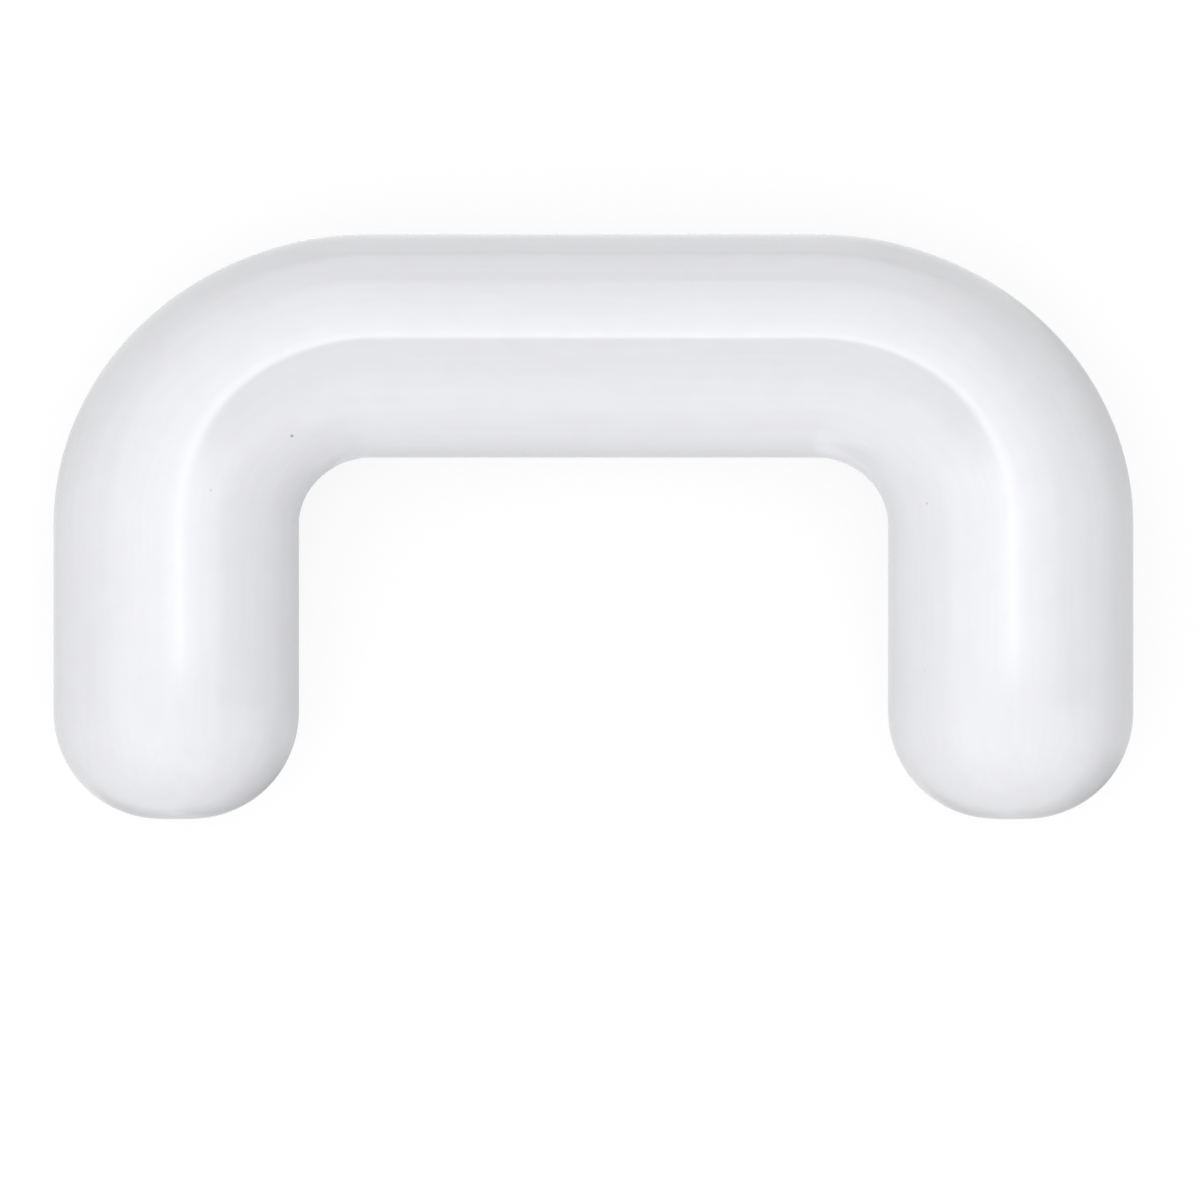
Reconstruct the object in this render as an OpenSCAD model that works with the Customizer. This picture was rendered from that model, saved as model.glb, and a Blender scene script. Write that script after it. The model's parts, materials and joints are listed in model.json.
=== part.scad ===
// Septum retainer: one rod bent into a staple, lying on its side with its legs towards -Y.
// All sizes are millimetres. The origin is under the middle of the part, on the surface it lies on.

/* [Rod] */
// Diameter of the round rod, which both legs keep
rod_d = 4.0; // [3.2:0.1:5]
// Thickness of the crossbar in the staple's plane, as a share of the rod's diameter
bar_share = 0.9125; // [0.8:0.0125:1]

/* [Staple] */
// Clear width between the two legs
inside_w = 9.6; // [8:0.1:13]
// Reach of the legs past the inner side of the crossbar
inside_depth = 5.9; // [5.5:0.1:9]
// Inner radius of both bends, measured across the legs
bend_r = 1.2; // [0.6:0.1:1.8]

/* [Tips] */
// Radius that rounds a leg's side into its tip, as a share of the rod's radius
edge_share = 0.876; // [0.5:0.004:0.96]
// Distance of the flatter crown's centre behind the rounded edge's centre, in radii of the rod
crown_share = 1.92; // [1:0.02:4]

/* [Hidden] */
$fn = 96;

rod_r = rod_d / 2;
bend_mid_r = bend_r + rod_r;
leg_x = inside_w / 2 + rod_r;
bar_l = inside_w - 2 * bend_r;

edge_r = edge_share * rod_r;
edge_off = rod_r - edge_r;
crown_back = crown_share * rod_r;
crown_r = edge_r + sqrt(edge_off * edge_off + crown_back * crown_back);
tip_l = crown_r - crown_back;

bend_reach = bar_share * bend_mid_r;
leg_l = inside_depth - bar_share * bend_r - tip_l;
overall_y = bar_share * rod_d + inside_depth;
// Place of the crossbar's middle line, which puts the origin under the middle of the whole part
bar_y = overall_y / 2 - bar_share * rod_r;

// Half of the rounded end's lengthwise section: x runs out from the leg's axis, y towards the tip.
// The edge's arc and the crown's arc meet tangent, on the line through both of their centres.
module tip_section() {
    past_tip = [2 * edge_off, crown_back];
    intersection() {
        translate([edge_off, 0]) circle(r = edge_r);
        polygon([[edge_off, 0], [rod_d, 0], [rod_d, crown_back], past_tip]);
    }
    intersection() {
        translate([0, -crown_back]) circle(r = crown_r);
        polygon([[0, 0], [edge_off, 0], past_tip, [0, crown_back]]);
    }
}

// One straight leg with its rounded tip, from the bend towards -Y.
module leg() {
    translate([leg_x, -bend_reach, 0])
        rotate([90, 0, 0]) {
            cylinder(r = rod_r, h = leg_l);
            translate([0, 0, leg_l]) rotate_extrude() tip_section();
        }
}

// The quarter bend between the crossbar and a leg, still round.
module bend() {
    translate([bar_l / 2, -bend_mid_r, 0])
        rotate_extrude(angle = 90)
            translate([bend_mid_r, 0]) circle(r = rod_r);
}

// The straight crossbar that lies in the piercing, still round.
module crossbar() {
    rotate([0, 90, 0]) cylinder(r = rod_r, h = bar_l, center = true);
}

// Places its children on the right, and their mirror image on the left.
module both_sides() {
    children();
    mirror([1, 0, 0]) children();
}

// The whole piece: the crossbar is eased to an oval, and the bends run from it into round legs.
module retainer() {
    color("whitesmoke")
        translate([0, bar_y, rod_r]) {
            scale([1, bar_share, 1]) {
                crossbar();
                both_sides() bend();
            }
            both_sides() leg();
        }
}

retainer();
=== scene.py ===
"""Looks of a septum retainer: one gloss white acrylic rod bent into a staple, lying on a pale floor.

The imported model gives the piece's sizes, apart from the two shares that round its tips. This script
builds the rod again as one fine smooth mesh, finishes it as polished acrylic, and sets a pale floor, soft
light and a camera that looks straight down on it.
"""

import json
import logging
import math
from dataclasses import dataclass
from enum import Enum
from functools import cached_property
from typing import Callable, Iterator, Union

import bpy
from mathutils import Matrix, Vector


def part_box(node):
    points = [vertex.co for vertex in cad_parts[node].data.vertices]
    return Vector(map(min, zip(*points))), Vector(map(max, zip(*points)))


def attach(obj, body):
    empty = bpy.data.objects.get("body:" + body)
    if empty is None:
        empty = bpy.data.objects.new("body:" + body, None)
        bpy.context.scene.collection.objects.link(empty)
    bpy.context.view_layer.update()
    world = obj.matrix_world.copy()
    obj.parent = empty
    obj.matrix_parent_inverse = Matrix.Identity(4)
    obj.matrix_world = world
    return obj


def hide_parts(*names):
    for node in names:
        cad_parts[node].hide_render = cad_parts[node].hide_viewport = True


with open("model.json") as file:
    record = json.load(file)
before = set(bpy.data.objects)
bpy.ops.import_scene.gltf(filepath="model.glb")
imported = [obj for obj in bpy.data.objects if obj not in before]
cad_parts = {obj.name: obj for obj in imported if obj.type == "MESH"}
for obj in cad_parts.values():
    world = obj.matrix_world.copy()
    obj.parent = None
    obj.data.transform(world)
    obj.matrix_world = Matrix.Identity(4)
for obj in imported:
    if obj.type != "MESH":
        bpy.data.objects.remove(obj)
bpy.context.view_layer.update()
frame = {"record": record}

Colour = tuple[float, float, float]
Point = tuple[float, float, float]
PlanPoint = tuple[float, float]
Placing = Callable[[float], PlanPoint]
Value = Union["Signal", float]
Paint = Union["Signal", Colour]

# A span from its start to its end, or what holds on a leg and what holds on the crossbar.
Pair = tuple[float, float]

MM = 0.001
QUARTER_TURN = 90.0
UNIT: Pair = (0.0, 1.0)
WHITE: Colour = (1.0, 1.0, 1.0)
BLACK: Colour = (0.0, 0.0, 0.0)
NODE = "retainer"
BODY = "root"

# Places of the colour sockets on the Mix node, whose socket names are shared by several sockets.
MIX_FIRST = 6
MIX_SECOND = 7
MIX_RESULT = 2

log = logging.getLogger("retainer")


class Side(Enum):
    """The two mirrored halves of the staple."""

    LEFT = -1
    RIGHT = 1


class Ray(Enum):
    """The kinds of ray that a piece of the stage can let by."""

    CAMERA = "visible_camera"
    DIFFUSE = "visible_diffuse"
    GLOSSY = "visible_glossy"
    TRANSMISSION = "visible_transmission"
    SCATTER = "visible_volume_scatter"
    SHADOW = "visible_shadow"


@dataclass(frozen=True)
class Signal:
    """A shader socket. Where it carries a number, the usual signs and these methods work on it.

    Angles are in degrees. A span is a pair of values, at which something starts and is complete.
    """

    graph: "Graph"
    socket: bpy.types.NodeSocket

    def __add__(self, other: Value) -> "Signal":
        """This value plus another."""
        return self.graph.maths("ADD", self, other)

    def __radd__(self, other: Value) -> "Signal":
        """Another value plus this one."""
        return self.graph.maths("ADD", other, self)

    def __sub__(self, other: Value) -> "Signal":
        """This value less another."""
        return self.graph.maths("SUBTRACT", self, other)

    def __rsub__(self, other: Value) -> "Signal":
        """Another value less this one."""
        return self.graph.maths("SUBTRACT", other, self)

    def __mul__(self, other: Value) -> "Signal":
        """This value times another."""
        return self.graph.maths("MULTIPLY", self, other)

    def __rmul__(self, other: Value) -> "Signal":
        """Another value times this one."""
        return self.graph.maths("MULTIPLY", other, self)

    def __truediv__(self, other: Value) -> "Signal":
        """This value over another."""
        return self.graph.maths("DIVIDE", self, other)

    def __rtruediv__(self, other: Value) -> "Signal":
        """Another value over this one."""
        return self.graph.maths("DIVIDE", other, self)

    def __pow__(self, other: Value) -> "Signal":
        """This value to the power of another."""
        return self.graph.maths("POWER", self, other)

    def __rpow__(self, other: Value) -> "Signal":
        """Another value to the power of this one."""
        return self.graph.maths("POWER", other, self)

    def __neg__(self) -> "Signal":
        """This value with its sign turned."""
        return self * -1.0

    def __abs__(self) -> "Signal":
        """This value without its sign."""
        return self.graph.maths("ABSOLUTE", self)

    def above(self, floor: float) -> "Signal":
        """This value, and never less than the floor."""
        return self.graph.maths("MAXIMUM", self, floor)

    def below(self, ceiling: float) -> "Signal":
        """This value, and never more than the ceiling."""
        return self.graph.maths("MINIMUM", self, ceiling)

    def sign(self) -> "Signal":
        """Minus one, nought or one, as this value is."""
        return self.graph.maths("SIGN", self)

    def sine(self) -> "Signal":
        """The sine of this angle."""
        return self.graph.maths("SINE", self * math.radians(1))

    def cosine(self) -> "Signal":
        """The cosine of this angle."""
        return self.graph.maths("COSINE", self * math.radians(1))

    def angle(self, ahead: "Signal") -> "Signal":
        """The angle of a slant that goes this far sideways and that far ahead."""
        return self.graph.maths("ARCTAN2", self, ahead) * math.degrees(1)

    def rise(self, span: Pair) -> "Signal":
        """A smooth step from nought at the span's start to one at its end."""
        inputs = {"Value": self, "From Min": span[0], "From Max": span[1]}
        return self.graph.node("ShaderNodeMapRange", {"interpolation_type": "SMOOTHSTEP"}, inputs)

    def bell(self, width: float) -> "Signal":
        """One at nought, falling away on both sides over a width."""
        share = self / width
        return math.e ** -(share * share)


@dataclass(frozen=True)
class Graph:
    """The node tree of one material or world."""

    tree: bpy.types.NodeTree

    @classmethod
    def of(cls, owner: bpy.types.Material | bpy.types.World) -> "Graph":
        """Starts an empty node tree in a material or a world.

        Args:
            owner: The material or world.

        Returns:
            Its graph, with no node in it.
        """
        owner.use_nodes = True
        owner.node_tree.nodes.clear()
        return cls(owner.node_tree)

    def node(self, kind: str, settings: dict | None = None, inputs: dict | None = None,
             output: int | str = 0) -> Signal:
        """Adds one node.

        Args:
            kind: The node's type.
            settings: What is set on the node itself, before its sockets.
            inputs: Values, colours or signals, by the name or the place of the socket.
            output: The name or the place of the output that is handed back.

        Returns:
            That output, or the node's first input where it has no output.
        """
        made = self.tree.nodes.new(kind)
        for name, value in (settings or {}).items():
            setattr(made, name, value)
        for name, value in (inputs or {}).items():
            socket = made.inputs[name]
            if isinstance(value, Signal):
                self.tree.links.new(value.socket, socket)
            else:
                socket.default_value = (*value, 1.0) if socket.type == "RGBA" else value
        return Signal(self, made.outputs[output] if len(made.outputs) else made.inputs[0])

    def maths(self, operation: str, first: Value, second: Value = 0.0) -> Signal:
        """Adds one Math node, some of which need only the first value."""
        return self.node("ShaderNodeMath", {"operation": operation}, {0: first, 1: second})

    def measure(self, operation: str, first: Signal, second: Vector) -> Signal:
        """Adds one Vector Math node whose result is a number."""
        return self.node("ShaderNodeVectorMath", {"operation": operation}, {0: first, 1: second}, "Value")

    def mix(self, share: Signal, first: Paint, second: Paint) -> Signal:
        """Mixes two colours, by the share of the second one."""
        inputs = {"Factor": share, MIX_FIRST: first, MIX_SECOND: second}
        return self.node("ShaderNodeMix", {"data_type": "RGBA"}, inputs, MIX_RESULT)

    def point(self) -> Signal:
        """Where the shaded point is in the part's frame, in metres."""
        return self.node("ShaderNodeTexCoord", output="Object")

    def noise(self, point: Signal, scale: float, detail: float) -> Signal:
        """Soft blotches, with values about a half and so many finer layers."""
        return self.node("ShaderNodeTexNoise", inputs={"Vector": point, "Scale": scale, "Detail": detail})

    def straight_on(self) -> Signal:
        """One where a surface is seen straight on, falling to nought where it is seen edge on."""
        return 1 - self.node("ShaderNodeLayerWeight", output="Facing")


def between(pair: Pair, share: Signal) -> Signal:
    """A value that goes from the first of a pair to the second as the share goes from nought to one."""
    return pair[0] + (pair[1] - pair[0]) * share


@dataclass(frozen=True)
class Staple:
    """Sizes of the bent rod, in millimetres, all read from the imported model.

    The crossbar and bends are the round rod pressed to a share of its thickness in the staple's plane.
    The placings are for the right half: each takes how far a point is out from the rod's middle line,
    across the staple's plane, and gives its place in that plane.
    """

    rod_r: float
    leg_x: float
    bar_y: float
    bar_l: float
    pressed: float
    leg_l: float

    @classmethod
    def from_frame(cls) -> "Staple":
        """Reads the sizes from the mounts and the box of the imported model.

        Returns:
            The staple's sizes.
        """
        mounts = {mount["name"]: mount for mount in frame["record"]["mounts"]}
        leg = mounts["right_leg"]
        seat = mounts["crossbar_seat"]
        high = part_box(NODE)[1]
        rod_r = leg["dims"]["r_mm"]
        bar_y = seat["pos_m"][1] / MM
        return cls(rod_r=rod_r, leg_x=leg["pos_m"][0] / MM, bar_y=bar_y, bar_l=seat["dims"]["length_mm"],
                   pressed=(high.y / MM - bar_y) / rod_r, leg_l=leg["dims"]["length_mm"])

    @property
    def bend_r(self) -> float:
        """Radius of the bends' middle line before pressing."""
        return self.leg_x - self.bar_l / 2

    @property
    def bend_y(self) -> float:
        """Height in the plane at which the bends end and the legs begin."""
        return self.bar_y - self.pressed * self.bend_r

    @property
    def shoulder_y(self) -> float:
        """Height in the plane at which the straight legs end and the rounded tips begin."""
        return self.bend_y - self.leg_l

    def across_leg(self, y: float) -> Placing:
        """Places points across the leg, at a height in the plane."""
        return lambda out: (self.leg_x + out, y)

    def across_bend(self, angle: float) -> Placing:
        """Places points across the bend.

        Args:
            angle: How far round the bend they are from where the leg ends, in radians.

        Returns:
            Their placing.
        """
        centre = self.bar_l / 2
        return lambda out: (centre + (self.bend_r + out) * math.cos(angle),
                            self.bend_y + self.pressed * (self.bend_r + out) * math.sin(angle))

    def across_bar(self, x: float) -> Placing:
        """Places points across the crossbar, at a distance from its middle."""
        return lambda out: (x, self.bar_y + self.pressed * out)

    def upper_point(self, x: float, y: float) -> Point:
        """A point on the rod's upper side, seen from straight above.

        Args:
            x: Its place across the legs.
            y: Its place along the legs.

        Returns:
            The point on the surface, in millimetres.
        """
        across = max(abs(x) - self.bar_l / 2, 0.0)
        along = max((y - self.bend_y) / self.pressed, 0.0)
        off = math.hypot(across, along) - self.bend_r
        return x, y, self.rod_r + math.sqrt(max(self.rod_r ** 2 - off ** 2, 0.0))


@dataclass(frozen=True)
class RodPlace:
    """Where a shaded point lies round and along the bent rod, in millimetres and degrees.

    Out is how far it is from the rod's middle line, outwards in the staple's plane, and up is how far
    above it. Tilt is the angle round the rod from straight up, positive outwards. Turn is the angle round
    the bend, from nought on a leg to 90 on the crossbar. Run is the way along the rod from its middle.
    """

    x: Signal
    y: Signal
    out: Signal
    up: Signal
    tilt: Signal
    turn: Signal
    run: Signal

    @classmethod
    def of(cls, graph: Graph, staple: Staple) -> "RodPlace":
        """Works the place out from the point's position in the part's frame.

        Args:
            graph: The graph of the material that asks.
            staple: Sizes of the rod.

        Returns:
            The place of the point that is shaded.
        """
        axes = graph.node("ShaderNodeSeparateXYZ", inputs={0: graph.point()}).socket.node.outputs
        x, y, z = (Signal(graph, axis) / MM for axis in axes)
        across = (abs(x) - staple.bar_l / 2).above(0.0)
        along = ((y - staple.bend_y) / staple.pressed).above(0.0)
        out = (across * across + along * along) ** 0.5 - staple.bend_r
        up = z - staple.rod_r
        turn = along.angle(across)
        bar_part = abs(x).below(staple.bar_l / 2)
        bend_part = (QUARTER_TURN - turn) * (math.radians(1) * staple.bend_r)
        leg_part = (staple.bend_y - y).above(0.0)
        return cls(x, y, out, up, out.angle(up), turn, (bar_part + bend_part + leg_part) * x.sign())

    @cached_property
    def steep(self) -> Signal:
        """The tilt without its sign."""
        return abs(self.tilt)

    @cached_property
    def to_bar(self) -> Signal:
        """A smooth step from nought on a leg to one on the crossbar."""
        return self.turn.rise((0.0, QUARTER_TURN))

    @cached_property
    def right(self) -> Signal:
        """The share of the outward direction that points to the right, negative on the left half."""
        return self.turn.cosine() * self.x.sign()

    @cached_property
    def to_right(self) -> Signal:
        """The share of the tilt that leans to the right."""
        return self.tilt * self.right

    @cached_property
    def to_back(self) -> Signal:
        """The share of the tilt that leans to the back."""
        return self.tilt * self.turn.sine()


@dataclass(frozen=True)
class Speck:
    """A tiny dark fleck that is set in the plastic's surface, in millimetres.

    Depth is how dark it is, from nought to one.
    """

    x: float
    y: float
    r: float
    depth: float


@dataclass(frozen=True)
class PolishedAcrylic:
    """White acrylic, milky in the body and tumbled to a clear gloss.

    Its blotches and drawing lines come from noise, of which the spread is the part that shows. The
    flecks' edge is in shares of their radius, from where they end to where they are darkest.
    """

    body: Colour = (0.89, 0.894, 0.93)
    cloud: Colour = (0.868, 0.87, 0.903)
    fleck: Colour = (0.22, 0.22, 0.24)
    fleck_edge: Pair = (1.2, 0.3)
    noise_spread: Pair = (0.35, 0.65)
    cloud_share: float = 0.5
    cloud_size: float = 0.5
    cloud_detail: float = 4.0
    line_size: float = 0.13
    line_length: float = 2.5
    line_detail: float = 2.0
    line_groove: float = 0.1
    gloss: float = 0.11
    gloss_change: float = 0.03
    refraction: float = 1.49
    shine: float = 1.0
    milk: float = 0.3
    milk_depth: float = 0.7 * MM
    milk_reach: Colour = (1.0, 0.97, 0.95)
    ripple_size: float = 0.4
    ripple_detail: float = 1.0
    ripple_height: float = 0.002 * MM
    specks: tuple[Speck, ...] = (
        Speck(x=-4.881, y=1.460, r=0.034, depth=0.75),
        Speck(x=-6.185, y=0.580, r=0.026, depth=0.25),
        Speck(x=5.404, y=0.368, r=0.026, depth=0.35),
        Speck(x=5.372, y=-2.337, r=0.022, depth=0.2),
    )

    def draw_lines(self, graph: Graph, staple: Staple) -> Signal:
        """Faint lines that drawing the rod leaves along its length.

        Args:
            graph: The material's graph.
            staple: Sizes of the rod that they run along.

        Returns:
            Nought off the lines and one on them.
        """
        at = RodPlace.of(graph, staple)
        axes = {0: at.out / self.line_size, 1: at.up / self.line_size, 2: at.run / self.line_length}
        stretched = graph.node("ShaderNodeCombineXYZ", inputs=axes)
        return graph.noise(stretched, 1.0, self.line_detail).rise(self.noise_spread)

    def flecks(self, graph: Graph, staple: Staple) -> Signal:
        """The dark flecks, each at its own place on the upper side.

        Args:
            graph: The material's graph.
            staple: Sizes of the rod that they sit in.

        Returns:
            How dark the surface is for them, from nought to one.
        """
        point = graph.point()
        total: Value = 0.0
        for speck in self.specks:
            centre = Vector(staple.upper_point(speck.x, speck.y)) * MM
            away = graph.measure("DISTANCE", point, centre) / (speck.r * MM)
            total = total + speck.depth * away.rise(self.fleck_edge)
        return total

    def colour(self, graph: Graph, staple: Staple, lines: Signal) -> Signal:
        """The white of the body, with its blotches, lines and flecks.

        Args:
            graph: The material's graph.
            staple: Sizes of the rod.
            lines: The drawing lines.

        Returns:
            The colour.
        """
        blotches = graph.noise(graph.point(), 1 / (self.cloud_size * MM), self.cloud_detail)
        clouded = self.cloud_share * blotches.rise(self.noise_spread) + (1 - self.cloud_share) * lines
        return graph.mix(self.flecks(graph, staple), graph.mix(clouded, self.body, self.cloud), self.fleck)

    def relief(self, graph: Graph, lines: Signal) -> Signal:
        """A very slight ripple in the gloss, with the drawing lines as grooves.

        Args:
            graph: The material's graph.
            lines: The drawing lines.

        Returns:
            The surface's direction for it.
        """
        ripple = graph.noise(graph.point(), 1 / (self.ripple_size * MM), self.ripple_detail)
        inputs = {"Height": ripple - self.line_groove * lines, "Distance": self.ripple_height}
        return graph.node("ShaderNodeBump", inputs=inputs)

    def material(self, staple: Staple) -> bpy.types.Material:
        """Makes the material.

        Args:
            staple: Sizes of the rod that it dresses.

        Returns:
            The material.
        """
        made = bpy.data.materials.new("white_acrylic")
        graph = Graph.of(made)
        lines = self.draw_lines(graph, staple)
        shader = graph.node("ShaderNodeBsdfPrincipled", {"subsurface_method": "RANDOM_WALK"}, {
            "Base Color": self.colour(graph, staple, lines),
            "Roughness": self.gloss + self.gloss_change * lines,
            "IOR": self.refraction,
            "Specular IOR Level": self.shine,
            "Subsurface Weight": self.milk,
            "Subsurface Radius": self.milk_reach,
            "Subsurface Scale": self.milk_depth,
            "Normal": self.relief(graph, lines),
        })
        graph.node("ShaderNodeOutputMaterial", inputs={"Surface": shader})
        return made


@dataclass(frozen=True)
class Sweep:
    """A skin that follows the staple: a crossbar, two bends, two legs and two rounded tips.

    A ring runs round the rod at each station, from the left leg's tip to the right leg's tip. The tip's
    edge and crown are the solid's own arcs, in shares of the rod's radius, and swell is the skin's radius
    in rod radii.
    """

    staple: Staple
    swell: float = 1.0
    edge_share: float = 0.876
    crown_share: float = 1.92
    round_steps: int = 128
    bar_steps: int = 48
    bend_steps: int = 56
    leg_steps: int = 26
    edge_steps: int = 30
    crown_steps: int = 6

    def tip_section(self) -> list[PlanPoint]:
        """Half of the rounded tip's lengthwise section, from the leg's side to its axis.

        Returns:
            Pairs of radius and reach past the straight leg, both in rod radii. The edge's arc meets the
            crown's arc tangent, and the last pair is the crown's point.
        """
        off = 1.0 - self.edge_share
        crown_r = self.edge_share + math.hypot(off, self.crown_share)
        blend = math.atan2(self.crown_share, off)
        edge = [blend * i / self.edge_steps for i in range(1, self.edge_steps + 1)]
        rest = math.pi / 2 - blend
        crown = [blend + rest * i / self.crown_steps for i in range(1, self.crown_steps + 1)]
        section = [(off + self.edge_share * math.cos(a), self.edge_share * math.sin(a)) for a in edge]
        return section + [(crown_r * math.cos(a), crown_r * math.sin(a) - self.crown_share) for a in crown]

    def half_stations(self) -> Iterator[tuple[float, Placing]]:
        """The stations of the right half, from the tip to the crossbar's middle.

        Yields:
            The ring's radius in millimetres, and the placing of its points in the staple's plane.
        """
        s = self.staple
        full = self.swell * s.rod_r
        for radius, reach in reversed(self.tip_section()[:-1]):
            yield radius * full, s.across_leg(s.shoulder_y - reach * full)
        for i in range(self.leg_steps):
            yield full, s.across_leg(s.shoulder_y + s.leg_l * i / self.leg_steps)
        for i in range(self.bend_steps):
            yield full, s.across_bend(math.pi / 2 * i / self.bend_steps)
        for i in range(self.bar_steps + 1):
            yield full, s.across_bar(s.bar_l / 2 * (1 - i / self.bar_steps))

    def ring(self, radius: float, place: Placing, side: Side) -> list[Point]:
        """One ring of points round the rod.

        Args:
            radius: The ring's radius.
            place: Gives a point's place in the staple's plane from its distance out.
            side: The half that the ring is in.

        Returns:
            Its points in millimetres, from the outer side upwards.
        """
        points = []
        for i in range(self.round_steps):
            turn = math.tau * i / self.round_steps
            x, y = place(radius * math.cos(turn))
            points.append((side.value * x, y, self.staple.rod_r + radius * math.sin(turn)))
        return points

    def rings(self) -> list[list[Point]]:
        """All the rings.

        Returns:
            The rings, from the left tip to the right tip, with the middle one once.
        """
        stations = list(self.half_stations())
        right = [self.ring(radius, place, Side.RIGHT) for radius, place in stations]
        left = [self.ring(radius, place, Side.LEFT) for radius, place in stations[:-1]]
        return left + right[::-1]

    def mesh(self, name: str) -> bpy.types.Mesh:
        """Builds the closed skin.

        Args:
            name: The mesh's name.

        Returns:
            The mesh, in metres, with its left point first and its right point last.
        """
        s = self.staple
        rings = self.rings()
        end_y = s.shoulder_y - self.tip_section()[-1][1] * self.swell * s.rod_r
        points = [(-s.leg_x, end_y, s.rod_r)]
        points += [point for ring in rings for point in ring]
        points.append((s.leg_x, end_y, s.rod_r))

        n = self.round_steps
        last = len(points) - 1
        faces = [(0, 1 + (i + 1) % n, 1 + i) for i in range(n)]
        for row in range(len(rings) - 1):
            low = 1 + row * n
            high = low + n
            faces += [(low + i, low + (i + 1) % n, high + (i + 1) % n, high + i) for i in range(n)]
        start = last - n
        faces += [(last, start + i, start + (i + 1) % n) for i in range(n)]

        mesh = bpy.data.meshes.new(name)
        mesh.from_pydata([tuple(c * MM for c in point) for point in points], [], faces)
        mesh.validate()
        mesh.shade_smooth()
        return mesh


@dataclass(frozen=True)
class Retainer:
    """The whole piece, in one skin."""

    staple: Staple

    def build(self, finish: PolishedAcrylic) -> bpy.types.Object:
        """Makes the piece, dresses it and lets it stand for the solid.

        Args:
            finish: What it is made of.

        Returns:
            The piece.
        """
        piece = put("retainer_rod", Sweep(self.staple).mesh("retainer_skin"), finish.material(self.staple))
        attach(piece, BODY)
        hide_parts(NODE)
        return piece


@dataclass(frozen=True)
class FloorWhite:
    """Matt white with a lift of its own light, which is fullest in a pool round the piece."""

    colour: Colour = (0.26, 0.26, 0.265)
    lift: float = 0.79
    far_lift: Colour = (0.8, 0.8, 0.8)
    pool_y: float = -1.2 * MM
    pool: Pair = (60.0 * MM, 13.0 * MM)

    def material(self) -> bpy.types.Material:
        """Makes the material.

        Returns:
            The material.
        """
        made = bpy.data.materials.new("floor_white")
        graph = Graph.of(made)
        away = graph.measure("DISTANCE", graph.point(), Vector((0.0, self.pool_y, 0.0)))
        shader = graph.node("ShaderNodeBsdfPrincipled", inputs={
            "Base Color": self.colour,
            "Roughness": 1.0,
            "Specular IOR Level": 0.0,
            "Emission Color": graph.mix(away.rise(self.pool), self.far_lift, WHITE),
            "Emission Strength": self.lift,
        })
        graph.node("ShaderNodeOutputMaterial", inputs={"Surface": shader})
        made.cycles.emission_sampling = "NONE"
        return made


@dataclass(frozen=True)
class CardGrey:
    """Matt grey, which throws some of the light back."""

    colour: Colour = (0.5, 0.5, 0.5)

    def material(self) -> bpy.types.Material:
        """Makes the material.

        Returns:
            The material.
        """
        made = bpy.data.materials.new("card_grey")
        graph = Graph.of(made)
        shader = graph.node("ShaderNodeBsdfDiffuse", inputs={"Color": self.colour})
        graph.node("ShaderNodeOutputMaterial", inputs={"Surface": shader})
        return made


@dataclass(frozen=True)
class PaleFloor:
    """A plain pale floor that curves up into a wall far off, with a card just under it, in metres.

    The card is seen only by the piece's shaded sides, and throws light back up at them.
    """

    flat_r: float = 1.2
    cove_r: float = 0.8
    wall_h: float = 2.0
    cove_steps: int = 16
    round_steps: int = 96
    card_r: float = 0.15
    card_z: float = -0.2 * MM

    def profile(self) -> list[PlanPoint]:
        """The floor's section outside its flat disc.

        Returns:
            Pairs of radius and height, from the flat's rim to the wall's top.
        """
        curve = [math.pi / 2 * i / self.cove_steps for i in range(self.cove_steps + 1)]
        cove = [(self.flat_r + self.cove_r * math.sin(a), self.cove_r * (1 - math.cos(a))) for a in curve]
        return cove + [(self.flat_r + self.cove_r, self.cove_r + self.wall_h)]

    def bowl(self, name: str, profile: list[PlanPoint]) -> bpy.types.Mesh:
        """A flat disc with a wall turned round its rim.

        Args:
            name: The mesh's name.
            profile: Pairs of radius and height, from the disc's rim up.

        Returns:
            The mesh.
        """
        n = self.round_steps
        turns = [math.tau * i / n for i in range(n)]
        points = [(r * math.cos(a), r * math.sin(a), z) for r, z in profile for a in turns]
        faces = [tuple(range(n))]
        for row in range(len(profile) - 1):
            low = row * n
            high = low + n
            faces += [(low + i, high + i, high + (i + 1) % n, low + (i + 1) % n) for i in range(n)]
        mesh = bpy.data.meshes.new(name)
        mesh.from_pydata(points, [], faces)
        mesh.shade_smooth()
        return mesh

    def build(self, white: FloorWhite, grey: CardGrey) -> list[bpy.types.Object]:
        """Makes the floor and its card.

        Args:
            white: The floor's finish.
            grey: The card's finish.

        Returns:
            The two.
        """
        floor = put("floor", self.bowl("floor", self.profile()), white.material(),
                    (Ray.DIFFUSE, Ray.SHADOW, Ray.GLOSSY))
        card = put("floor_card", self.bowl("floor_card", [(self.card_r, self.card_z)]), grey.material(),
                   (Ray.CAMERA, Ray.GLOSSY))
        return [floor, card]


@dataclass(frozen=True)
class SoftboxEdge:
    """The edge of the softbox, which runs along the top of the whole rod.

    Tilts and fades in pairs are for a leg and for the crossbar. The edge moves from one tilt to the
    other round the bend, and to the right on both legs. It fades inwards.
    """

    tilt: Pair = (-1.75, 5.4)
    turn: Pair = (0.0, 58.0)
    fade: Pair = (10.0, 1.8)
    right: float = 1.45

    def past(self, at: RodPlace) -> Signal:
        """How far outwards a point lies past the edge."""
        return at.tilt - between(self.tilt, at.turn.rise(self.turn)) - self.right * at.right

    def inside(self, at: RodPlace, past: Signal) -> Signal:
        """Nought at the edge and outside it, and a smooth step to one inside it, where it has faded."""
        return 1 - (past / between(self.fade, at.turn / QUARTER_TURN) + 1).rise(UNIT)


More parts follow.
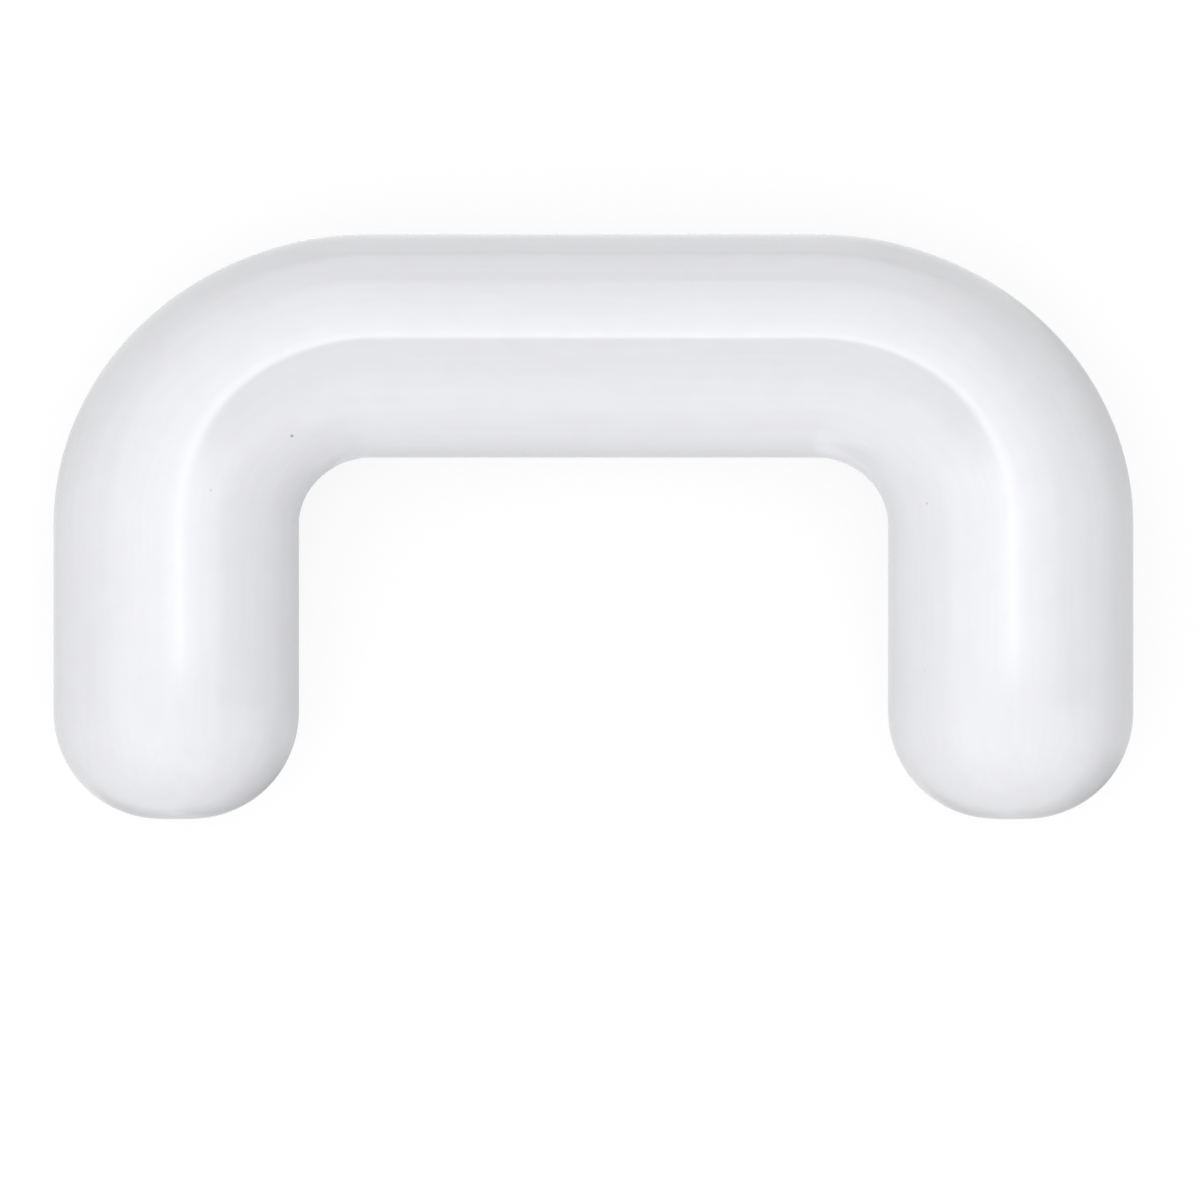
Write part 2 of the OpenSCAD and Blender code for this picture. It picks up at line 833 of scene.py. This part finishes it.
@dataclass(frozen=True)
class Softbox:
    """A broad soft lamp overhead, which lights the rod's outer side and the whole top of its legs.

    Left, right and back say how far it reaches round the rod, and tip how it fades along the legs. Near
    the tips it has no end on the right.
    """

    level: float = 0.38
    left: Pair = (-48.0, -38.0)
    right: Pair = (34.0, 23.0)
    right_end: Pair = (-3.0, -2.8)
    back: Pair = (58.0, 46.0)
    tip: Pair = (-8.0, -3.2)

    def glow(self, at: RodPlace, front: Signal) -> Signal:
        """The lamp's brightness.

        Args:
            at: The place on the hood.
            front: One low in front, where the lamp doesn't reach.

        Returns:
            What it adds to the room.
        """
        past_right = (1 - at.to_right.rise(self.right)) * at.y.rise(self.right_end)
        box = (1 - past_right) * at.to_right.rise(self.left) * at.to_back.rise(self.back)
        return self.level * box * at.y.rise(self.tip) * (1 - front)


@dataclass(frozen=True)
class BrightLine:
    """The bright line at the softbox's edge, with a bloom round it that is a haze from low down.

    Stripe and bloom are the glows on a leg and on the crossbar. Stripe tilt says how far from the edge
    the line begins and is complete, and tip how far along the legs.
    """

    stripe: Pair = (0.25, 0.4)
    stripe_tilt: Pair = (5.1, 1.1)
    bloom: Pair = (1.3, 0.7)
    bloom_turn: Pair = (0.0, 42.0)
    bloom_width: float = 11.0
    haze_width: float = 16.0
    tip: Pair = (-3.0, -1.8)

    def glow(self, at: RodPlace, past: Signal, direct: Signal, near: Signal) -> Signal:
        """The line's brightness.

        Args:
            at: The place on the hood.
            past: How far outwards that is past the softbox's edge.
            direct: How much of the lamps shows there.
            near: One where the grids let the lamps show in full.

        Returns:
            What it adds to the room.
        """
        away = abs(past)
        bloom = between(self.bloom, at.turn.rise(self.bloom_turn))
        line = between(self.stripe, at.to_bar) * away.rise(self.stripe_tilt)
        line = line + bloom * math.e ** (-away / self.bloom_width)
        haze = bloom * away.bell(self.haze_width)
        return (line * direct + haze * (1 - near)) * at.y.rise(self.tip)


@dataclass(frozen=True)
class Beams:
    """Two thin dark beams behind the crossbar, with a paler panel between them.

    Shade and tilt are for the upper beam and for the lower one.
    """

    shade: Pair = (0.24, 0.26)
    tilt: Pair = (52.0, 79.5)
    width: float = 2.2
    panel: float = 0.17
    panel_start: Pair = (54.0, 62.0)
    panel_end: Pair = (79.0, 74.0)
    turn: Pair = (45.0, 85.0)

    def lift(self, at: RodPlace) -> Signal:
        """How much the panel and beams change the room's light.

        Args:
            at: The place on the hood.

        Returns:
            The share that is added, negative where they darken it.
        """
        lift = self.panel * at.tilt.rise(self.panel_start) * at.tilt.rise(self.panel_end)
        for shade, tilt in zip(self.shade, self.tilt):
            lift = lift - shade * (at.tilt - tilt).bell(self.width)
        return lift * at.turn.rise(self.turn)


@dataclass(frozen=True)
class StudioRoom:
    """The pale room round the piece, a little darker where less light reaches it.

    Each shade is the share that it takes from the room's light, and bounce is a share that it adds.
    The spans named after each say where it comes in. Tilts and turns are angles as in RodPlace, and out,
    up and end are millimetres, with end along the legs. Low shade is for a leg and for the crossbar.
    """

    level: float = 1.15
    under_tilt: Pair = (176.0, 138.0)
    patch_shade: float = 0.76
    patch_tilt: Pair = (52.0, 8.0)
    patch_turn: Pair = (15.0, 45.0)
    patch_narrow: Pair = (0.6, 1.0)
    right_shade: float = 0.32
    right_tilt: Pair = (58.0, 88.0)
    gap_shade: float = 0.2
    gap_tilt: Pair = (26.0, 36.0)
    front_shade: float = 0.4
    front_end: Pair = (-4.8, -5.4)
    front_up: Pair = (0.2, -1.0)
    corner_shade: float = 0.58
    corner_out: Pair = (0.9, 2.0)
    corner_end: Pair = (-3.6, -4.8)
    corner_up: Pair = (1.2, -0.2)
    low_shade: Pair = (0.22, 0.32)
    low_tilt: Pair = (74.0, 116.0)
    low_turn: Pair = (70.0, 90.0)
    bend_shade: float = 0.13
    bend_tilt: Pair = (60.0, 84.0)
    bend_start: Pair = (0.0, 15.0)
    bend_end: Pair = (90.0, 75.0)
    bounce: float = 0.34
    bounce_tilt: Pair = (-48.0, -88.0)
    bounce_end: Pair = (-118.0, -94.0)
    bounce_right: Pair = (0.0, 0.2)
    beams: Beams = Beams()

    def front(self, at: RodPlace) -> Signal:
        """One low in front of the tips."""
        return at.y.rise(self.front_end) * at.up.rise(self.front_up)

    def patch(self, at: RodPlace, inside: Signal) -> Signal:
        """The dark patch inside the softbox's edge, wide over the crossbar and narrow towards the legs."""
        tilt = at.steep / between(self.patch_narrow, at.to_bar)
        return self.patch_shade * inside * at.turn.rise(self.patch_turn) * tilt.rise(self.patch_tilt)

    def corner(self, at: RodPlace) -> Signal:
        """The dark corner at the right of both tips."""
        corner = (at.out * at.right).rise(self.corner_out) * at.y.rise(self.corner_end)
        return self.corner_shade * corner * at.up.rise(self.corner_up)

    def low(self, at: RodPlace) -> Signal:
        """The shade low down on the front and the left, deeper along the crossbar."""
        front_left = (-(at.to_right + at.to_back) / at.steep).rise(UNIT) * at.steep.rise(self.low_tilt)
        return between(self.low_shade, at.turn.rise(self.low_turn)) * front_left

    def bounced(self, at: RodPlace, bend: Signal) -> Signal:
        """The light that the right bend's inner side gets back from the floor and the leg."""
        reach = at.tilt.rise(self.bounce_tilt) * at.tilt.rise(self.bounce_end)
        return self.bounce * bend * at.right.rise(self.bounce_right) * reach

    def glow(self, at: RodPlace, inside: Signal, front: Signal, near: Signal) -> Signal:
        """The room's brightness.

        Args:
            at: The place on the hood.
            inside: One inside the softbox's edge.
            front: One low in front of the tips.
            near: One where the grids let the lamps' pattern show in full.

        Returns:
            The brightness, without the lamps.
        """
        over = at.steep.rise(self.under_tilt)
        bend = at.turn.rise(self.bend_start) * at.turn.rise(self.bend_end)
        shades = (
            self.patch(at, inside) * near,
            self.right_shade * over * at.to_right.rise(self.right_tilt),
            self.gap_shade * over * inside * at.to_right.rise(self.gap_tilt),
            self.front_shade * front,
            self.corner(at),
            self.low(at) * over,
            self.bend_shade * over * bend * at.tilt.rise(self.bend_tilt),
        )
        room: Value = self.level
        for shade in shades:
            room = room * (1 - shade)
        return room * (1 + self.bounced(at, bend)) * (1 + self.beams.lift(at))


@dataclass(frozen=True)
class HoodGlow:
    """The light of the hood's inner face: a pale room, a softbox overhead and a bright line at its edge.

    Grids let the lamps' pattern out only where the hood is seen nearly straight on, and from low down
    the hood shows a plain room. Inner turn says where the softbox goes on inside its edge: on the legs.
    """

    edge: SoftboxEdge = SoftboxEdge()
    softbox: Softbox = Softbox()
    line: BrightLine = BrightLine()
    room: StudioRoom = StudioRoom()
    inner_turn: Pair = (36.0, 10.0)
    plain_room: float = 0.9
    room_grid: Pair = (0.35, 0.7)
    lamp_grid: Pair = (0.86, 0.955)

    def brightness(self, graph: Graph, staple: Staple) -> Signal:
        """The hood's brightness over its inner face.

        Args:
            graph: The hood's graph.
            staple: Sizes of the rod that it goes round.

        Returns:
            The brightness.
        """
        at = RodPlace.of(graph, staple)
        straight = graph.straight_on()
        near = straight.rise(self.lamp_grid)
        past = self.edge.past(at)
        inside = self.edge.inside(at, past)
        front = self.room.front(at)
        direct = (1 - inside * (1 - at.turn.rise(self.inner_turn))) * near
        lamps = self.softbox.glow(at, front) * direct + self.line.glow(at, past, direct, near)
        room = self.room.glow(at, inside, front, near)
        return self.plain_room + (room + lamps - self.plain_room) * straight.rise(self.room_grid)

    def material(self, staple: Staple) -> bpy.types.Material:
        """Makes the material.

        Args:
            staple: Sizes of the rod that it goes round.

        Returns:
            The material.
        """
        made = bpy.data.materials.new("hood_glow")
        graph = Graph.of(made)
        light = graph.node("ShaderNodeEmission", inputs={"Color": self.brightness(graph, staple)})
        graph.node("ShaderNodeOutputMaterial", inputs={"Surface": light})
        made.cycles.emission_sampling = "NONE"
        return made


@dataclass(frozen=True)
class LightHood:
    """A glowing hood close round the rod, seen only in its gloss, that stands for the studio."""

    staple: Staple
    swell: float = 1.55

    def build(self, finish: HoodGlow) -> bpy.types.Object:
        """Makes the hood.

        Args:
            finish: The light that it gives.

        Returns:
            The hood.
        """
        mesh = Sweep(self.staple, self.swell).mesh("light_hood")
        hood = put("light_hood", mesh, finish.material(self.staple),
                   (Ray.CAMERA, Ray.DIFFUSE, Ray.TRANSMISSION, Ray.SCATTER, Ray.SHADOW))
        return hood


@dataclass(frozen=True)
class SoftSurround:
    """Soft light from all round, brightest from above and a little from the front and left."""

    level: float = 0.51
    towards: Point = (-0.122, -0.14, 0.63)
    colour: Colour = WHITE
    strength: float = 2.0

    def build(self) -> bpy.types.World:
        """Makes the surround.

        Returns:
            The world that holds it.
        """
        world = bpy.data.worlds.new("soft_surround")
        bpy.context.scene.world = world
        graph = Graph.of(world)
        direction = graph.node("ShaderNodeTexCoord", output="Generated")
        share = (self.level + graph.measure("DOT_PRODUCT", direction, Vector(self.towards))) / self.strength
        light = {"Color": graph.mix(share, BLACK, self.colour), "Strength": self.strength}
        back = graph.node("ShaderNodeBackground", inputs=light)
        graph.node("ShaderNodeOutputWorld", inputs={"Surface": back})
        return world


@dataclass(frozen=True)
class PhotoCamera:
    """A long lens that looks straight down, framed as the photograph is, in millimetres.

    The frame is 1200 pixels wide. The two offsets are the middle of the photograph from the middle of
    the piece, in its pixels.
    """

    mm_per_px: float = 0.0163
    frame_px: float = 1200.0
    right_px: float = 6.55
    down_px: float = 73.4
    distance: float = 240.0
    nearest: float = 10.0
    sensor: float = 36.0

    def build(self, staple: Staple) -> bpy.types.Object:
        """Makes the scene's camera.

        Args:
            staple: Sizes of the rod that it looks at.

        Returns:
            The camera.
        """
        data = bpy.data.cameras.new("photo_camera")
        data.sensor_width = self.sensor
        data.lens = self.sensor * self.distance / (self.frame_px * self.mm_per_px)
        data.clip_start = self.nearest * MM
        camera = bpy.data.objects.new("photo_camera", data)
        x = self.right_px * self.mm_per_px
        y = -self.down_px * self.mm_per_px
        camera.location = Vector((x, y, staple.rod_r + self.distance)) * MM
        bpy.context.scene.collection.objects.link(camera)
        bpy.context.scene.camera = camera
        return camera


def put(name: str, mesh: bpy.types.Mesh, material: bpy.types.Material,
        let_by: tuple[Ray, ...] = ()) -> bpy.types.Object:
    """Puts a mesh into the scene as an object.

    Args:
        name: The object's name.
        mesh: Its mesh.
        material: What it is made of.
        let_by: The kinds of ray that don't see it.

    Returns:
        The object.
    """
    mesh.materials.append(material)
    made = bpy.data.objects.new(name, mesh)
    bpy.context.scene.collection.objects.link(made)
    for ray in let_by:
        setattr(made, ray.value, False)
    return made


def main() -> None:
    """Builds the piece and its stage in order."""
    logging.basicConfig(level=logging.INFO, format="%(name)s: %(message)s")
    staple = Staple.from_frame()
    log.info("sizes from the model: %s", staple)
    camera = PhotoCamera().build(staple)
    log.info("camera %s with a %.0f mm lens", camera.name, camera.data.lens)
    piece = Retainer(staple).build(PolishedAcrylic())
    log.info("piece %s: %d faces", piece.name, len(piece.data.polygons))
    for made in PaleFloor().build(FloorWhite(), CardGrey()):
        log.info("stage: %s", made.name)
    hood = LightHood(staple).build(HoodGlow())
    log.info("stage: %s, %d faces", hood.name, len(hood.data.polygons))
    surround = SoftSurround().build()
    log.info("stage: %s", surround.name)
    bpy.context.scene.view_settings.view_transform = "Standard"


if __name__ == "__main__":
    main()
